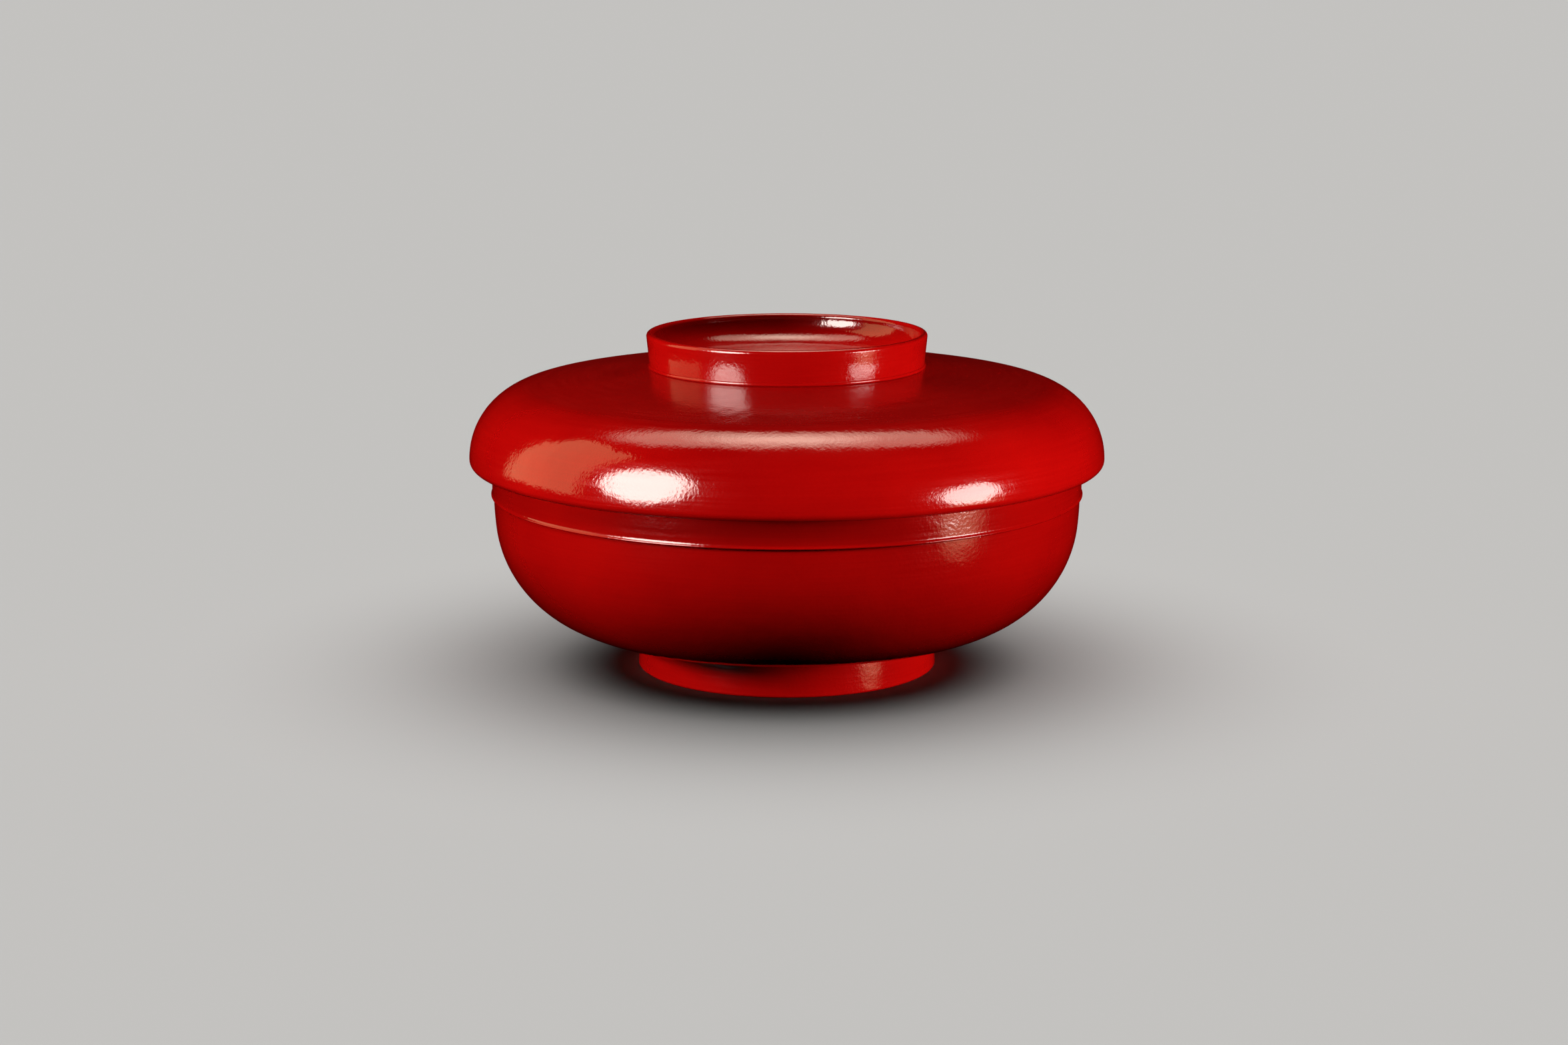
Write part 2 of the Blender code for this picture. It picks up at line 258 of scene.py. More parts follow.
thread = thread_line()
side_start = math.asin(thread[-1][1] / BOWL_SIDE_ARC)
bowl_section = list(reversed(bowl_wall.dish(0.0, FOOT_RADIUS)))
bowl_section += list(reversed(bowl_wall.corner(0.0)))[1:]
bowl_section += list(reversed(bowl_wall.side(0.0, side_start, BOWL_SIDE_TURN)))[1:]
bowl_section += reversed(thread)
bowl_section += list(reversed(neck_line(thread[0])))[1:]
bowl_section += bowl_wall.rim(0.0, 0.0, math.pi)[1:]
bowl_section += bowl_wall.side(BOWL_WALL, -rim_lean, BOWL_SIDE_TURN)[1:]
bowl_section += bowl_wall.corner(BOWL_WALL)[1:]
bowl_section += bowl_wall.dish(BOWL_WALL)[1:]
under = BOWL_WALL - COAT
bowl_section += reversed(bowl_wall.dish(under))
bowl_section += list(reversed(bowl_wall.corner(under)))[1:]
bowl_section += list(reversed(bowl_wall.side(under, -rim_lean, BOWL_SIDE_TURN)))[1:]
bowl_section += list(reversed(bowl_wall.rim(COAT, 0.0, math.pi)))[1:]
bowl_section += bowl_wall.side(COAT, -rim_lean, BOWL_SIDE_TURN)[1:]
bowl_section += bowl_wall.corner(COAT)[1:]
bowl_section += bowl_wall.dish(COAT, FOOT_RADIUS)[1:]
bowl_film = turn_on_lathe("bowl_lacquer", placed(bowl_section, bead_plane, -1))
print("widest plane at", round(bead_plane * MILLIMETRES, 2), "mm")

# %% [markdown]
# ## The foot's lacquer
# The foot is a low ring that flares a little towards the table. Its film covers the outside, the
# narrow edge that the bowl stands on and the inside. A second film covers the bottom of the bowl
# within the ring. All this could be one line with the bowl's film. As films of their own they can be
# lit by themselves, and the joint under the bowl stays a clean line.

# %% Foot films
FOOT_FLARE = 0.0007
FOOT_WALL = 0.0066
FOOT_EDGE = 0.0010
foot_inside = FOOT_RADIUS - FOOT_WALL
# The table lies as far below the widest plane as that plane is high.
foot_table = bead_plane


def foot_line(depth):
    """Finished face of the foot at a depth, from its outer top round to its inner top."""
    outer_top = bowl_wall.dish(0.0, FOOT_RADIUS - depth)[-1]
    inner_top = bowl_wall.dish(0.0, foot_inside + depth)[-1]
    low = foot_table - FOOT_EDGE
    edge = FOOT_EDGE - depth
    points = [outer_top]
    points += arc((FOOT_RADIUS + FOOT_FLARE - FOOT_EDGE, low), edge, 0.0, math.pi / 2)
    points += arc((foot_inside + FOOT_EDGE, low), edge, math.pi / 2, math.pi)
    return points + [inner_top]


foot_section = foot_line(0.0) + list(reversed(foot_line(COAT)))
foot_film = turn_on_lathe("foot_lacquer", placed(foot_section, bead_plane, -1))
recess_section = [p for p in bowl_wall.dish(0.0) if p[0] < foot_inside]
recess_section = [bowl_wall.dish(0.0, foot_inside)[-1]] + recess_section
recess_back = [p for p in bowl_wall.dish(COAT) if p[0] < foot_inside]
recess_back = [bowl_wall.dish(COAT, foot_inside)[-1]] + recess_back
recess_section += reversed(recess_back)
recess_film = turn_on_lathe("foot_recess_lacquer", placed(recess_section, bead_plane, -1))

# %% [markdown]
# ## The lid's lacquer
# The lid is a shallow dome with a round shoulder, and its lip hangs free around the neck of the
# bowl. The shoulder rests on the bowl's rim from inside, which sets the height of the whole lid. One
# could give that height as a number, but then a change to the bowl's rim would leave a gap.

# %% Lid film
LID_PLAY = 0.0034
LID_WALL = 0.0056
LID_SIDE_TURN = math.radians(20.0)
LID_SHOULDER_ARC = 0.0279
LID_CROWN_ARC = 0.540
LID_CLEARANCE = 0.0003
GRIP_RADIUS = 0.0521

lid_widest = BOWL_WIDEST + LID_PLAY + LID_WALL
lid_wall = Wall(
    lid_widest, LID_WALL, LID_SHOULDER_ARC, LID_SIDE_TURN, LID_SHOULDER_ARC, LID_CROWN_ARC, 0.0
)
rim_middle = BOWL_SIDE_ARC - BOWL_WALL / 2
rim_radius = BOWL_WIDEST - BOWL_SIDE_ARC + rim_middle * math.cos(rim_lean)
rest_reach = LID_SHOULDER_ARC - LID_WALL - BOWL_WALL / 2 - LID_CLEARANCE
rest_across = rim_radius - (lid_widest - LID_SHOULDER_ARC)
rest_drop = math.sqrt(rest_reach ** 2 - rest_across ** 2)
lid_plane = bead_plane + rim_middle * math.sin(rim_lean) - rest_drop


def lid_line(depth, radius):
    """Face of the lid at a depth, from its widest plane in to a radius."""
    points = lid_wall.side(depth, 0.0, lid_wall.side_turn)
    points += lid_wall.corner(depth)[1:]
    return points + lid_wall.dish(depth, radius)[1:]


lid_section = list(reversed(lid_line(0.0, GRIP_RADIUS)))
lid_section += lid_wall.rim(0.0, 0.0, math.pi)[1:]
lid_section += lid_line(LID_WALL, 0.0)[1:]
lid_section += reversed(lid_line(LID_WALL - COAT, 0.0))
lid_section += list(reversed(lid_wall.rim(COAT, 0.0, math.pi)))[1:]
lid_section += lid_line(COAT, GRIP_RADIUS)[1:]
lid_film = turn_on_lathe("lid_lacquer", placed(lid_section, lid_plane, 1))
print("lid's widest plane at", round(lid_plane * MILLIMETRES, 2), "mm")

# %% [markdown]
# ## The grip's lacquer
# The grip is a ring round a well: turned upside down, the lid becomes a plate that stands on it. A
# fine bead hides the joint with the dome, the wall flares upwards, the crest is round, and a hollow
# curve runs down to a flat floor, at about the level of the dome. Two films meet on top of the crest,
# so that the well can have its own light.

# %% Grip films
GRIP_FLARE = 0.0011
GRIP_HEIGHT = 0.0132
GRIP_CREST = 0.0029
GRIP_COVE = 0.0113
GRIP_FLOOR_DROP = 0.0004
GRIP_BEAD_RISE = 0.0005
GRIP_BEAD_WIDTH = 0.0013

grip_foot = lid_wall.dish(0.0, GRIP_RADIUS)[-1][1]
crest_round = GRIP_CREST / 2
crest_centre = (GRIP_RADIUS + GRIP_FLARE - crest_round, grip_foot + GRIP_HEIGHT - crest_round)
floor_rise = lid_wall.dish(0.0)[-1][1] - GRIP_FLOOR_DROP
floor_radius = GRIP_RADIUS + GRIP_FLARE - GRIP_CREST - GRIP_COVE
cove_depth = crest_centre[1] - floor_rise


def outer_crest(depth):
    return arc(crest_centre, crest_round - depth, 0.0, math.pi / 2)


def well_line(depth):
    """From the top of the crest down to the axis."""
    points = arc(crest_centre, crest_round - depth, math.pi / 2, math.pi)
    cove_centre = (floor_radius, crest_centre[1])
    points += ellipse(cove_centre, GRIP_COVE + depth, cove_depth + depth, 0.0, -math.pi / 2)[1:]
    return points + [(0.0, floor_rise - depth)]


grip_bead = ellipse(
    (GRIP_RADIUS, grip_foot + GRIP_BEAD_WIDTH / 2),
    GRIP_BEAD_RISE,
    GRIP_BEAD_WIDTH / 2,
    -math.pi / 2,
    math.pi / 2,
)
grip_section = [(GRIP_RADIUS - COAT, grip_foot)] + grip_bead + outer_crest(0.0)
grip_section += reversed(outer_crest(COAT))
grip_film = turn_on_lathe("grip_lacquer", placed(grip_section, lid_plane, 1))
well_section = list(reversed(well_line(0.0))) + well_line(COAT)
well_film = turn_on_lathe("grip_well_lacquer", placed(well_section, lid_plane, 1))
films = [bowl_film, foot_film, recess_film, lid_film, grip_film, well_film]

# %% [markdown]
# ## Small helpers for finishes
# A finish is a chain of nodes that ends in the surface shader. Each of these helpers adds a node, or
# a few that belong together, and most give back an output, so that a finish reads like a recipe.

# %% Node helpers
SMALLEST_RADIUS = 1e-6


def plug(tree, value, socket):
    """Join an output to a socket, or set a plain number on it."""
    if isinstance(value, bpy.types.NodeSocket):
        tree.links.new(value, socket)
    else:
        socket.default_value = value


def new_finish(name):
    finish = bpy.data.materials.new(name)
    finish.use_nodes = True
    tree = finish.node_tree
    return finish, tree, tree.nodes["Principled BSDF"]


def place_on_object(tree):
    return tree.nodes.new("ShaderNodeTexCoord").outputs["Object"]


def calc(tree, operation, first, second=0.0):
    node = tree.nodes.new("ShaderNodeMath")
    node.operation = operation
    plug(tree, first, node.inputs[0])
    plug(tree, second, node.inputs[1])
    return node.outputs["Value"]


def sum_of_shares(tree, *parts):
    """Add up values, each times its share."""
    total = 0.0
    for value, share in parts:
        total = calc(tree, "ADD", total, calc(tree, "MULTIPLY", value, share))
    return total


def noise(tree, place, scale, detail):
    node = tree.nodes.new("ShaderNodeTexNoise")
    tree.links.new(place, node.inputs["Vector"])
    node.inputs["Scale"].default_value = scale
    node.inputs["Detail"].default_value = detail
    return node.outputs["Fac"]


def spread(tree, value, low, high, to_low=0.0, to_high=1.0):
    """Stretch a value from one range to another, and stop at its ends."""
    node = tree.nodes.new("ShaderNodeMapRange")
    plug(tree, value, node.inputs["Value"])
    node.inputs["From Min"].default_value = low
    node.inputs["From Max"].default_value = high
    node.inputs["To Min"].default_value = to_low
    node.inputs["To Max"].default_value = to_high
    return node.outputs["Result"]


def blend_colours(tree, value, first, second):
    node = tree.nodes.new("ShaderNodeValToRGB")
    tree.links.new(value, node.inputs["Fac"])
    node.color_ramp.elements[0].color = first
    node.color_ramp.elements[1].color = second
    return node.outputs["Color"]


def raise_surface(tree, height, shader):
    """Bump from a height in metres."""
    node = tree.nodes.new("ShaderNodeBump")
    node.inputs["Distance"].default_value = 1.0
    tree.links.new(height, node.inputs["Height"])
    tree.links.new(node.outputs["Normal"], shader.inputs["Normal"])


def round_the_axis(tree, place, turns, fineness):
    """Coordinates for marks of the brush: drawn out along the turn, fine across it."""
    split = tree.nodes.new("ShaderNodeSeparateXYZ")
    tree.links.new(place, split.inputs["Vector"])
    across = calc(tree, "POWER", split.outputs["X"], 2.0)
    along = calc(tree, "POWER", split.outputs["Y"], 2.0)
    radius = calc(tree, "SQRT", calc(tree, "ADD", across, along))
    radius = calc(tree, "MAXIMUM", radius, SMALLEST_RADIUS)
    joined = tree.nodes.new("ShaderNodeCombineXYZ")
    for side in ("X", "Y"):
        heading = calc(tree, "DIVIDE", split.outputs[side], radius)
        tree.links.new(calc(tree, "MULTIPLY", heading, turns), joined.inputs[side])
    profile = calc(tree, "ADD", split.outputs["Z"], radius)
    tree.links.new(calc(tree, "MULTIPLY", profile, fineness), joined.inputs["Z"])
    return joined.outputs["Vector"]


print("helpers ready")

# %% [markdown]
# ## Vermilion lacquer
# Lacquer is brushed on in thin coats, left to level, and rubbed between coats. Up close it isn't a
# perfect mirror: the film keeps a faint ripple of about a millimetre, slow waves of a few
# millimetres, the ghost of the brush round the turn, and here and there a speck of dust under the
# last coat. These are far too small to model as faces, so they are heights in a bump node. They
# make the ragged edges of the highlights. The red itself varies a little from place to place, and
# the faces that look straight up are a little duller, because dust settles and is wiped off there.

# %% Lacquer finish
DEEP_RED = (0.185, 0.0006, 0.0006, 1.0)
WARM_RED = (0.235, 0.0011, 0.0008, 1.0)
LACQUER_INDEX = 1.52
LACQUER_ROUGHNESS = (0.07, 0.15)
# The range that holds most of the values of a noise.
MOST_NOISE = (0.3, 0.7)
CLOUD_SCALE = 22.0
CLOUD_DETAIL = 3.0
CLOUD_SHARE = 0.60
GRAIN_SCALE = 1400.0
GRAIN_DETAIL = 1.0
GRAIN_SHARE = 0.15
TONE_RANGE = (0.35, 0.65)
RIPPLE_SCALE = 850.0
RIPPLE_DETAIL = 1.0
RIPPLE_HEIGHT = 0.000048
WAVE_SCALE = 190.0
WAVE_DETAIL = 0.0
WAVE_HEIGHT = 0.000085
BRUSH_TURNS = 3.0
BRUSH_FINENESS = 1600.0
BRUSH_DETAIL = 3.0
BRUSH_SHARE = 0.25
BRUSH_HEIGHT = 0.0000012
SPECK_SCALE = 130.0
SPECK_SIZE = 0.045
CLEAN_CELLS = 0.88
SPECK_HEIGHT = 0.00004
WIPED_FROM = 0.955
WIPED_FULL = 0.990
WIPED_DULLER = 0.07


def dust_specks(tree, place):
    """Small bumps, one to a cell, with most cells left clean."""
    cells = tree.nodes.new("ShaderNodeTexVoronoi")
    tree.links.new(place, cells.inputs["Vector"])
    cells.inputs["Scale"].default_value = SPECK_SCALE
    near = spread(tree, cells.outputs["Distance"], 0.0, SPECK_SIZE, 1.0, 0.0)
    split = tree.nodes.new("ShaderNodeSeparateColor")
    tree.links.new(cells.outputs["Color"], split.inputs["Color"])
    chosen = calc(tree, "GREATER_THAN", split.outputs["Red"], CLEAN_CELLS)
    return calc(tree, "MULTIPLY", near, chosen)


def wiped_faces(tree):
    """Added roughness where the surface looks straight up."""
    split = tree.nodes.new("ShaderNodeSeparateXYZ")
    tree.links.new(tree.nodes.new("ShaderNodeTexCoord").outputs["Normal"], split.inputs["Vector"])
    return spread(tree, split.outputs["Z"], WIPED_FROM, WIPED_FULL, 0.0, WIPED_DULLER)


def lacquer_finish():
    finish, tree, shader = new_finish("vermilion_lacquer")
    place = place_on_object(tree)
    strokes = round_the_axis(tree, place, BRUSH_TURNS, BRUSH_FINENESS)
    brush = noise(tree, strokes, 1.0, BRUSH_DETAIL)
    cloud = noise(tree, place, CLOUD_SCALE, CLOUD_DETAIL)
    grain = noise(tree, place, GRAIN_SCALE, GRAIN_DETAIL)
    tone = sum_of_shares(tree, (cloud, CLOUD_SHARE), (brush, BRUSH_SHARE), (grain, GRAIN_SHARE))
    colour = blend_colours(tree, spread(tree, tone, *TONE_RANGE), DEEP_RED, WARM_RED)
    tree.links.new(colour, shader.inputs["Base Color"])
    gloss = spread(tree, brush, *MOST_NOISE, *LACQUER_ROUGHNESS)
    tree.links.new(calc(tree, "ADD", gloss, wiped_faces(tree)), shader.inputs["Roughness"])
    shader.inputs["IOR"].default_value = LACQUER_INDEX
    height = sum_of_shares(
        tree,
        (noise(tree, place, RIPPLE_SCALE, RIPPLE_DETAIL), RIPPLE_HEIGHT),
        (noise(tree, place, WAVE_SCALE, WAVE_DETAIL), WAVE_HEIGHT),
        (brush, BRUSH_HEIGHT),
        (dust_specks(tree, place), SPECK_HEIGHT),
    )
    raise_surface(tree, height, shader)
    return finish


lacquer = lacquer_finish()
print("lacquer has", len(lacquer.node_tree.nodes), "nodes")

# %% [markdown]
# ## Turned wood
# The cores are turned from a plank of a light, close-grained wood. The growth rings lie to one side
# of the blank, so the lathe cuts them at a slant. Rings centred away from the piece give that, and a
# stretched noise gives the fibres.

# %% Wood finish
PALE_WOOD = (0.56, 0.38, 0.21, 1.0)
LATE_WOOD = (0.36, 0.21, 0.10, 1.0)
PITH = (0.30, 0.0, -0.18)
WOOD_ROUGHNESS = (0.55, 0.75)
RING_SCALE = 60.0
RING_DISTORTION = 2.5
RING_DETAIL = 3.0
RING_DETAIL_SCALE = 0.6
RING_SHARE = 0.6
FIBRE_STRETCH = (900.0, 25.0, 900.0)
FIBRE_DETAIL = 3.0
FIBRE_SHARE = 0.4
FIBRE_HEIGHT = 0.00008


def wood_finish():
    finish, tree, shader = new_finish("turned_wood")
    place = place_on_object(tree)
    moved = tree.nodes.new("ShaderNodeMapping")
    tree.links.new(place, moved.inputs["Vector"])
    moved.inputs["Location"].default_value = PITH
    rings = tree.nodes.new("ShaderNodeTexWave")
    rings.wave_type = "RINGS"
    rings.rings_direction = "Y"
    tree.links.new(moved.outputs["Vector"], rings.inputs["Vector"])
    rings.inputs["Scale"].default_value = RING_SCALE
    rings.inputs["Distortion"].default_value = RING_DISTORTION
    rings.inputs["Detail"].default_value = RING_DETAIL
    rings.inputs["Detail Scale"].default_value = RING_DETAIL_SCALE
    drawn = tree.nodes.new("ShaderNodeMapping")
    tree.links.new(place, drawn.inputs["Vector"])
    drawn.inputs["Scale"].default_value = FIBRE_STRETCH
    fibres = noise(tree, drawn.outputs["Vector"], 1.0, FIBRE_DETAIL)
    tone = sum_of_shares(tree, (rings.outputs["Fac"], RING_SHARE), (fibres, FIBRE_SHARE))
    tree.links.new(blend_colours(tree, tone, PALE_WOOD, LATE_WOOD), shader.inputs["Base Color"])
    tree.links.new(spread(tree, fibres, *MOST_NOISE, *WOOD_ROUGHNESS), shader.inputs["Roughness"])
    raise_surface(tree, calc(tree, "MULTIPLY", fibres, FIBRE_HEIGHT), shader)
    return finish


wood = wood_finish()
print("wood has", len(wood.node_tree.nodes), "nodes")

# %% [markdown]
# ## Hemp cloth
# The cloth on the rims is a plain weave. Threads run round the rim and across it, and each goes over
# one and under the next. Two sine waves at right angles make that, and a whole number of threads
# round the turn closes the weave without a seam. A picture of cloth would need an unwrapped map, and
# would show where its ends meet.

# %% Hemp finish
PALE_HEMP = (0.66, 0.58, 0.44, 1.0)
DARK_HEMP = (0.40, 0.33, 0.22, 1.0)
HEMP_ROUGHNESS = (0.85, 0.98)
THREADS_ROUND = 460.0
THREADS_UP = 4200.0
THREAD_HEIGHT = 0.0001
WEAVE_SHARE = 0.7
FUZZ_SCALE = 1500.0
FUZZ_DETAIL = 3.0
FUZZ_SHARE = 0.3


def hemp_finish():
    finish, tree, shader = new_finish("hemp_cloth")
    place = place_on_object(tree)
    split = tree.nodes.new("ShaderNodeSeparateXYZ")
    tree.links.new(place, split.inputs["Vector"])
    turn = calc(tree, "ARCTAN2", split.outputs["Y"], split.outputs["X"])
    warp = calc(tree, "SINE", calc(tree, "MULTIPLY", turn, THREADS_ROUND))
    weft = calc(tree, "SINE", calc(tree, "MULTIPLY", split.outputs["Z"], THREADS_UP))
    weave = calc(tree, "MULTIPLY", warp, weft)
    fuzz = noise(tree, place, FUZZ_SCALE, FUZZ_DETAIL)
    tone = sum_of_shares(tree, (spread(tree, weave, -1.0, 1.0), WEAVE_SHARE), (fuzz, FUZZ_SHARE))
    tree.links.new(blend_colours(tree, tone, DARK_HEMP, PALE_HEMP), shader.inputs["Base Color"])
    tree.links.new(spread(tree, fuzz, *MOST_NOISE, *HEMP_ROUGHNESS), shader.inputs["Roughness"])
    raise_surface(tree, calc(tree, "MULTIPLY", tone, THREAD_HEIGHT), shader)
    return finish


hemp = hemp_finish()
print("hemp has", len(hemp.node_tree.nodes), "nodes")

# %% [markdown]
# ## Dressing the pieces
# The films take the lacquer and stand in for the plain coats of the frame. The wood and cloth nodes
# keep their shapes, because they are right as they are, and only get their finishes.

# %% Dress


def dress(piece, finish):
    piece.data.materials.clear()
    piece.data.materials.append(finish)


for film in films:
    dress(film, lacquer)
for name in ("bowl_core", "foot_ring", "lid_core", "grip_ring"):
    dress(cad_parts[name], wood)
for name in ("bowl_rim_cloth", "lid_rim_cloth"):
    dress(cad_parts[name], hemp)

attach(bowl_film, "bowl")
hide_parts("bowl_outer_coat", "bowl_inner_coat")
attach(foot_film, "bowl")
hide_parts("foot_coat")
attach(recess_film, "bowl")
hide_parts("foot_recess_coat")
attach(lid_film, "lid")
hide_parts("lid_outer_coat", "lid_inner_coat")
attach(grip_film, "lid")
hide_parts("grip_coat")
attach(well_film, "lid")
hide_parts("grip_well_coat")
print("dressed", len(films), "films")

# %% [markdown]
# ## Panels of light
# A gloss surface shows its lights as they are, so a light is best seen as a shape that the bowl
# faces: the direction it lies in, the angles that it fills, and its glow, which is what a mirror
# would show. The watts follow from the glow and the size. A softbox is turned to face the bowl, and a
# screen stands plumb. A lamp behind cloth is brightest in the middle, so its glow can fade towards
# an oval edge.

# %% Panels
AIM = (0.0, 0.0, 0.085)
DISTANCE = 1.1
PANEL_MIDDLE = 0.5


def panel(name, place, tilt, turn, wide, high, glow, tint):
    """A lit rectangle that looks towards the bowl."""
    bpy.ops.object.light_add(type="AREA", location=place, rotation=(math.pi / 2 - tilt, 0.0, turn))
    lamp = bpy.context.object
    lamp.name = name
    lamp.data.shape = "RECTANGLE"
    lamp.data.size = wide
    lamp.data.size_y = high
    lamp.data.energy = glow * math.pi * wide * high
    lamp.data.color = tint
    lamp.visible_camera = False
    print(f"{name}: {lamp.data.energy:.1f} W")
    return lamp


def softbox(name, azimuth, elevation, wide, high, glow, tint):
    """Azimuth 0 is towards the camera, and positive to the right. Angles are in degrees."""
    turn = math.radians(azimuth)
    rise = math.radians(elevation)
    place = (
        AIM[0] + DISTANCE * math.sin(turn) * math.cos(rise),
        AIM[1] - DISTANCE * math.cos(turn) * math.cos(rise),
        AIM[2] + DISTANCE * math.sin(rise),
    )
    width = 2 * DISTANCE * math.tan(math.radians(wide / 2))
    height = 2 * DISTANCE * math.tan(math.radians(high / 2))
    return panel(name, place, rise, turn, width, height, glow, tint)


def screen(name, azimuth, wide, low, high, glow, tint):
    """A panel with plumb sides; low and high are the elevations of its edges."""
    turn = math.radians(azimuth)
    bottom = AIM[2] + DISTANCE * math.tan(math.radians(low))
    top = AIM[2] + DISTANCE * math.tan(math.radians(high))
    place = (DISTANCE * math.sin(turn), -DISTANCE * math.cos(turn), (bottom + top) / 2)
    width = 2 * DISTANCE * math.tan(math.radians(wide / 2))
    return panel(name, place, 0.0, turn, width, top - bottom, glow, tint)


def fade_edges(lamp, core):
    """Full glow within a share of the lamp's half width, and none at its oval edge."""
    lamp.data.use_nodes = True
    tree = lamp.data.node_tree
    across = tree.nodes.new("ShaderNodeNewGeometry").outputs["Parametric"]
    centred = tree.nodes.new("ShaderNodeVectorMath")
    centred.operation = "SUBTRACT"
    tree.links.new(across, centred.inputs[0])
    centred.inputs[1].default_value = (PANEL_MIDDLE, PANEL_MIDDLE, 0.0)
    length = tree.nodes.new("ShaderNodeVectorMath")
    length.operation = "LENGTH"
    tree.links.new(centred.outputs["Vector"], length.inputs[0])
    fade = tree.nodes.new("ShaderNodeMapRange")
    fade.interpolation_type = "SMOOTHSTEP"
    tree.links.new(length.outputs["Value"], fade.inputs["Value"])
    fade.inputs["From Min"].default_value = core * PANEL_MIDDLE
    fade.inputs["From Max"].default_value = PANEL_MIDDLE
    fade.inputs["To Min"].default_value = 1.0
    fade.inputs["To Max"].default_value = 0.0
    tree.links.new(fade.outputs["Result"], tree.nodes["Emission"].inputs["Strength"])


print("panels stand", DISTANCE, "m from the bowl")

# %% [markdown]
# ## The lights in the gloss
# Each light is placed where the photograph shows its reflection: a dim upright diffuser at the left
# with a bright lamp beside its near edge, a low lamp at the right with a dim skirt below it, and a
# diffuser overhead with a lamp behind it. These panels only make the reflections. If they lit the red
# as well, a stronger highlight would also wash out the colour round it.

# %% Lights in the gloss
left_diffuser = screen(
    "left_diffuser", azimuth=-93.5, wide=37.5, low=-4.0, high=50.0, glow=2.0, tint=(1.0, 0.66, 0.33)
)
left_lamp = softbox(
    "left_lamp", azimuth=-50.0, elevation=17.0, wide=36.0, high=46.0, glow=24.0, tint=(1.0, 0.86, 0.79)
)
right_lamp = softbox(
    "right_lamp", azimuth=64.0, elevation=1.8, wide=29.0, high=23.5, glow=16.5, tint=(1.0, 0.90, 0.84)
)
right_skirt = softbox(
    "right_skirt", azimuth=66.0, elevation=-9.0, wide=26.0, high=22.0, glow=2.2, tint=(1.0, 0.70, 0.38)
)
top_diffuser = softbox(
    "top_diffuser", azimuth=180.0, elevation=77.0, wide=74.0, high=42.0, glow=3.1, tint=(1.0, 0.80, 0.62)
)
top_lamp = softbox(
    "top_lamp", azimuth=180.0, elevation=79.0, wide=43.0, high=34.0, glow=5.7, tint=(1.0, 0.80, 0.64)
)
fade_edges(left_lamp, core=0.70)
fade_edges(right_lamp, core=0.70)
fade_edges(right_skirt, core=0.20)
fade_edges(top_diffuser, core=0.65)
fade_edges(top_lamp, core=0.10)
for mirrored in (left_diffuser, left_lamp, right_lamp, right_skirt, top_diffuser, top_lamp):
    mirrored.visible_diffuse = False

# %% [markdown]
# ## Light and shade
# Key lights, which no surface mirrors, give the red its light and shade: three low ones for the lid,
# the grip and the foot, three higher ones for the side of the bowl, which turns dark towards its
# foot, two for the well inside the grip, and two weak ones behind. Light linking says which pieces a
# key shines on. The lamp at the right stands so low that the ring shades its own well, so the well is
# left out of it. The lid should throw only a narrow shade on the neck, so of the lid only the core
# shades the two keys at the sides.

# %% Key lights
KEY_TINT = (1.0, 0.97, 0.94)


def key_light(name, azimuth, elevation, wide, high, glow):
    """A softbox that gives light and shade, and shows in no gloss."""
    key = softbox(name, azimuth, elevation, wide, high, glow, KEY_TINT)
    key.visible_glossy = False
    key.data.cycles.use_multiple_importance_sampling = False
    return key


def shine_on(lamps, pieces, state):
    """INCLUDE lights these pieces alone, and EXCLUDE all pieces but these."""
    group = bpy.data.collections.new("linked_to_" + lamps[0].name)
    for piece in pieces:
        group.objects.link(piece)
    for item in group.collection_objects:
        item.light_linking.link_state = state
    for lamp in lamps:
        lamp.light_linking.receiver_collection = group


low_keys = [
    key_light("left_low_key", azimuth=-72.0, elevation=15.0, wide=24.0, high=9.0, glow=92.0),
    key_light("right_low_key", azimuth=76.0, elevation=4.0, wide=36.0, high=8.0, glow=82.0),
    key_light("front_low_key", azimuth=0.0, elevation=23.0, wide=30.0, high=18.0, glow=15.0),
]
side_keys = [
    key_light("left_high_key", azimuth=-70.0, elevation=13.0, wide=24.0, high=9.0, glow=71.0),
    key_light("right_high_key", azimuth=74.0, elevation=13.0, wide=36.0, high=8.0, glow=76.0),
]
front_key = key_light("front_high_key", azimuth=-20.0, elevation=46.0, wide=30.0, high=18.0, glow=18.0)
high_keys = side_keys + [front_key]
well_keys = [
    key_light("well_top_key", azimuth=180.0, elevation=76.0, wide=30.0, high=30.0, glow=17.0),
    key_light("well_side_key", azimuth=-98.0, elevation=20.0, wide=24.0, high=9.0, glow=75.0),
]
back_keys = [
    key_light("left_back_key", azimuth=-145.0, elevation=16.0, wide=30.0, high=18.0, glow=15.0),
    key_light("right_back_key", azimuth=145.0, elevation=16.0, wide=30.0, high=18.0, glow=15.0),
]
shine_on(low_keys, [lid_film, grip_film, foot_film], "INCLUDE")
shine_on(high_keys, [bowl_film, recess_film], "INCLUDE")
shine_on(back_keys, films, "INCLUDE")
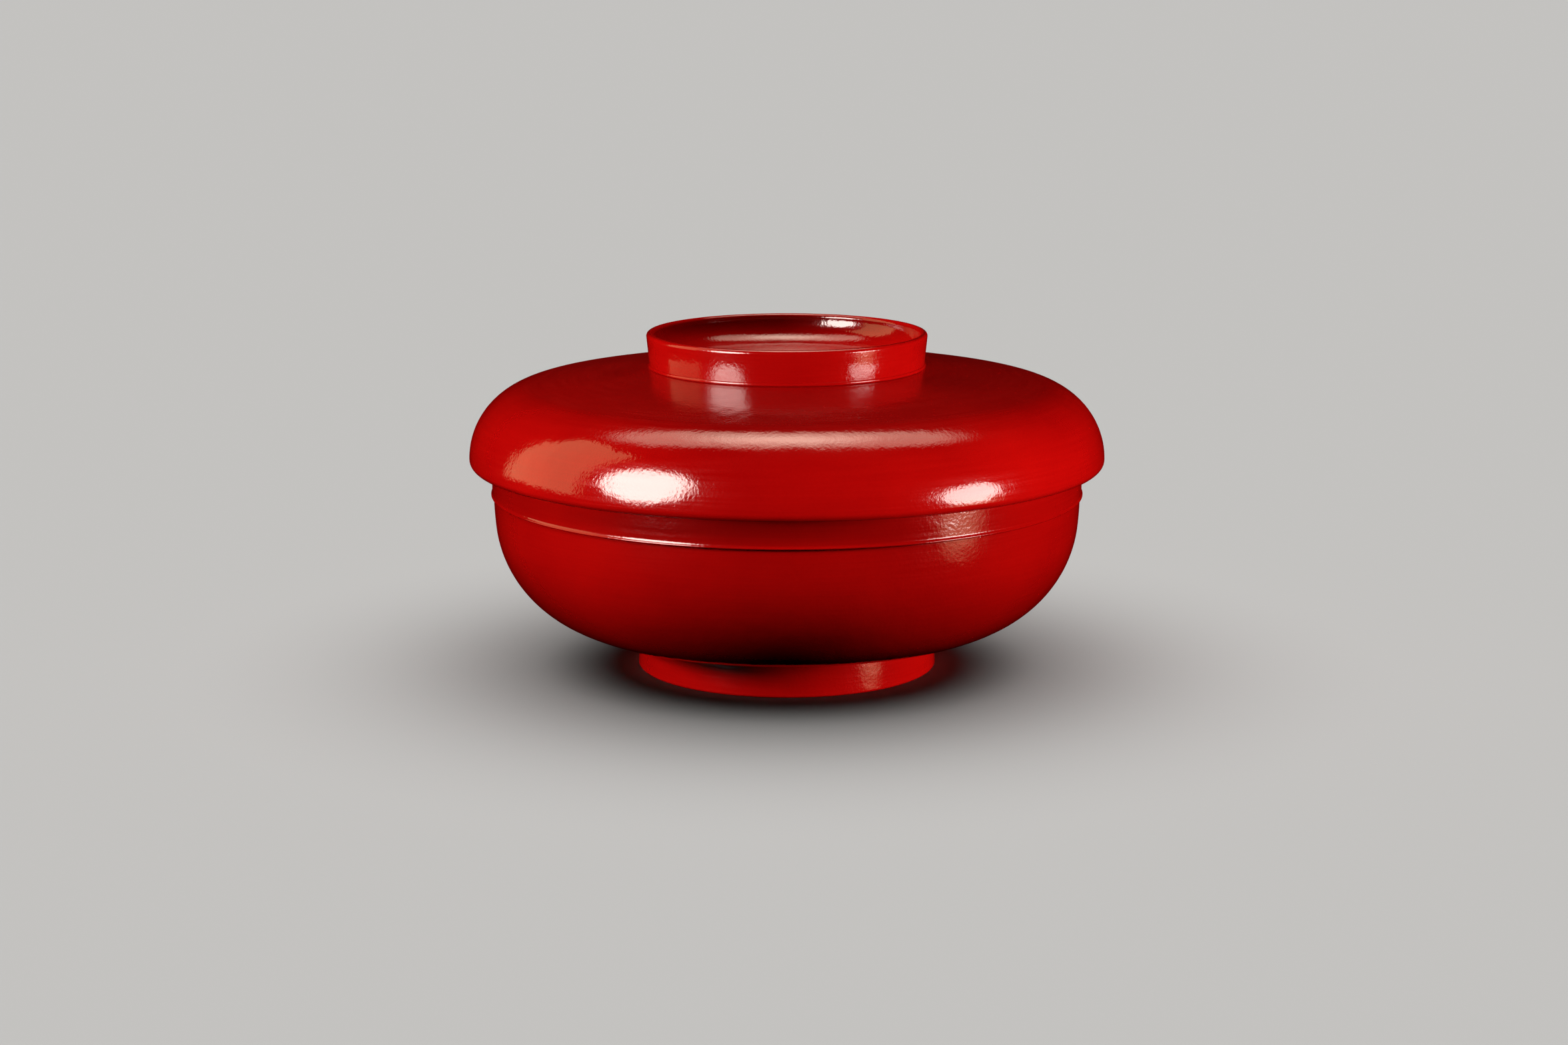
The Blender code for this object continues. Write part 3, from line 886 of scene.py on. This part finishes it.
shine_on(well_keys, [well_film], "INCLUDE")
shine_on([right_lamp, right_skirt], [well_film], "EXCLUDE")
side_shade = bpy.data.collections.new("shade_of_side_keys")
side_shade.objects.link(bowl_film)
side_shade.objects.link(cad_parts["lid_core"])
for key in side_keys:
    key.light_linking.blocker_collection = side_shade

# %% [markdown]
# ## Floor and surroundings
# The floor is plain and pale, and reaches far enough to fill the picture. An even, very soft light
# from above lies on it, and it is the only light that does, so it stays plain from every side. The
# room behind has the same pale tone, so that no horizon shows. The bowl itself stands in the dark: a
# pale floor or a bright room would lie over the deep red like a veil, so neither of them is mirrored
# in it.

# %% Floor
FLOOR_SIZE = 60.0
FLOOR_COLOUR = (0.205, 0.202, 0.196, 1.0)
FLOOR_ROUGHNESS = 0.9
ROOM = (0.530, 0.522, 0.507, 1.0)
SKY_LIGHT = 8.4
SKY_WIDTH = math.radians(100.0)
SKY_PLACE = (0.0, 0.0, 2.0)

bpy.ops.object.select_all(action="DESELECT")
bpy.ops.mesh.primitive_plane_add(size=FLOOR_SIZE, location=(0.0, 0.0, 0.0))
floor = bpy.context.object
floor.name = "floor"
floor_finish, _, floor_shader = new_finish("pale_floor")
floor_shader.inputs["Base Color"].default_value = FLOOR_COLOUR
floor_shader.inputs["Roughness"].default_value = FLOOR_ROUGHNESS
floor_shader.inputs["Specular IOR Level"].default_value = 0.0
dress(floor, floor_finish)
floor.visible_glossy = False
floor.visible_diffuse = False
floor.visible_shadow = False

bpy.ops.object.light_add(type="SUN", location=SKY_PLACE)
sky = bpy.context.object
sky.name = "even_top_light"
sky.data.energy = SKY_LIGHT
sky.data.angle = SKY_WIDTH
sky.visible_glossy = False
shine_on([sky], [floor], "INCLUDE")

room = bpy.data.worlds.new("studio")
room.use_nodes = True
room.node_tree.nodes["Background"].inputs["Color"].default_value = ROOM
room.cycles_visibility.diffuse = False
room.cycles_visibility.glossy = False
bpy.context.scene.world = room
bpy.context.scene.view_settings.view_transform = "Standard"
print("floor and room ready")
